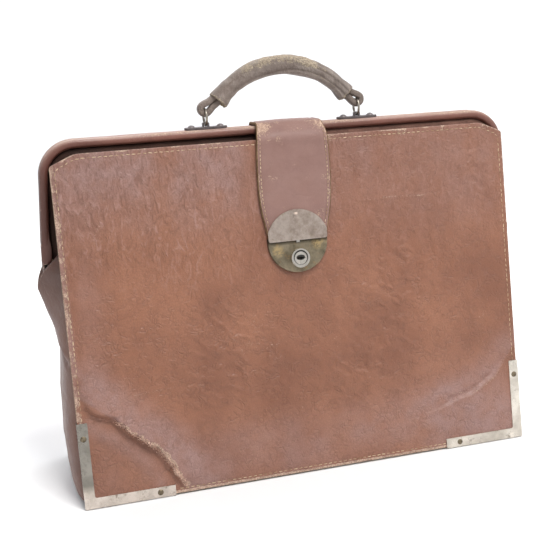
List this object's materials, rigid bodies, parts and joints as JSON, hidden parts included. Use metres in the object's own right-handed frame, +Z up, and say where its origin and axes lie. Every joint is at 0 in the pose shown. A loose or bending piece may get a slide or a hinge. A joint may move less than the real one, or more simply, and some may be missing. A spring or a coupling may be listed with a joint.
{
  "type": "doctor bag",
  "caption": "Leather doctor bag: two stiff panels on a flat base, steel frame that opens wide, swinging handle, strap with hasp and key lock, metal corner guards.",
  "frame": {"origin": "centre of the base, on the surface that the bag stands on", "axes": "+X to the bag's right seen from the front, +Y to its back, +Z up"},
  "size_m": [0.468, 0.1364, 0.3818],
  "materials": {
    "panel_leather": "worn grained reddish brown leather",
    "gusset_leather": "soft creased reddish brown leather",
    "frame_leather": "rolled leather, worn light on top",
    "strap_leather": "grained leather, worn edges",
    "handle_leather": "grey-brown handled leather, frayed",
    "lining": "plain tan skiver lining",
    "stiff_board": "grey-brown fibre board",
    "frame_steel": "dull nickelled steel",
    "nickel": "worn nickel plate",
    "rivet_metal": "dull tarnished",
    "hasp_metal": "tarnished brown plate",
    "lock_brass": "dull olive tarnish",
    "black_metal": "black japanned",
    "ring_wire": "dark dull wire"
  },
  "bodies": {
    "root": {"base_leather": "panel_leather", "base_board": "stiff_board", "base_lining": "lining", "left_gusset": "gusset_leather", "right_gusset": "gusset_leather"},
    "front_panel": {"front_panel_leather": "panel_leather", "front_panel_board": "stiff_board", "front_panel_lining": "lining", "front_guard_left": "nickel", "front_guard_right": "nickel", "front_guard_rivets": "rivet_metal", "lock_plate": "lock_brass", "lock_barrel": "nickel", "lock_case": "frame_steel"},
    "front_frame": {"front_frame_cover": "frame_leather", "front_frame_bar": "frame_steel", "front_hinge_strip": "panel_leather", "left_gusset_front_web": "gusset_leather", "right_gusset_front_web": "gusset_leather", "hinge_pin_left": "frame_steel", "hinge_pin_right": "frame_steel"},
    "back_panel": {"back_panel_leather": "panel_leather", "back_panel_board": "stiff_board", "back_panel_lining": "lining", "back_guard_left": "nickel", "back_guard_right": "nickel", "back_guard_rivets": "rivet_metal"},
    "back_frame": {"back_frame_cover": "frame_leather", "back_frame_bar": "frame_steel", "back_hinge_strip": "panel_leather", "left_gusset_back_web": "gusset_leather", "right_gusset_back_web": "gusset_leather", "handle_plate_left": "black_metal", "handle_plate_right": "black_metal", "handle_plate_rivets": "black_metal", "strap_rivets": "rivet_metal"},
    "strap": {"strap_leather": "strap_leather", "hasp_plate": "hasp_metal", "hasp_rivet": "rivet_metal", "hasp_staple": "frame_steel"},
    "handle": {"handle_wrap": "handle_leather", "handle_core": "handle_leather", "handle_eye_left": "handle_leather", "handle_eye_right": "handle_leather", "handle_ring_left": "ring_wire", "handle_ring_right": "ring_wire"},
    "lock_plug": {"lock_plug": "nickel"},
    "lock_bolt": {"lock_bolt": "frame_steel"}
  },
  "joints": [
    {"name": "front_panel_tilt", "type": "hinge", "parent": "root", "child": "front_panel", "pos_m": [0, -0.0668, 0.00165], "axis": [1, 0, 0], "range_deg": [0, 9]},
    {"name": "back_panel_tilt", "type": "hinge", "parent": "root", "child": "back_panel", "pos_m": [0, 0.0668, 0.00165], "axis": [-1, 0, 0], "range_deg": [0, 9.05]},
    {"name": "front_frame_fold", "type": "hinge", "parent": "front_panel", "child": "front_frame", "pos_m": [0, -0.02352, 0.30962], "axis": [1, 0, 0], "range_deg": [0, 22.7]},
    {"name": "back_frame_fold", "type": "hinge", "parent": "back_panel", "child": "back_frame", "pos_m": [0, 0.02352, 0.30962], "axis": [-1, 0, 0], "range_deg": [0, 22.7]},
    {"name": "strap_lift", "type": "hinge", "parent": "back_frame", "child": "strap", "pos_m": [0, 0.002, 0.3224], "axis": [-1, 0, 0], "range_deg": [0, 72.5], "deforming": ["strap_leather"]},
    {"name": "handle_swing", "type": "hinge", "parent": "back_frame", "child": "handle", "pos_m": [0.004, 0.0054, 0.331], "axis": [-1, 0, 0], "range_deg": [-75, 75]},
    {"name": "lock_turn", "type": "hinge", "parent": "front_panel", "child": "lock_plug", "pos_m": [0, -0.03883, 0.20069], "axis": [0, -0.9903, 0.1392], "range_deg": [0, 90]},
    {"name": "bolt_slide", "type": "slide", "parent": "front_panel", "child": "lock_bolt", "axis": [1, 0, 0], "range_m": [0, 0.0071]}
  ],
  "couplings": [
    {"joint": "back_panel_tilt", "follows": "front_panel_tilt", "ratio": 1},
    {"joint": "front_frame_fold", "follows": "front_panel_tilt", "ratio": 2.507},
    {"joint": "back_frame_fold", "follows": "front_panel_tilt", "ratio": 2.507},
    {"joint": "strap_lift", "follows": "front_panel_tilt", "ratio": 8},
    {"joint": "bolt_slide", "follows": "lock_turn", "m_per_rad": 0.0044563}
  ]
}
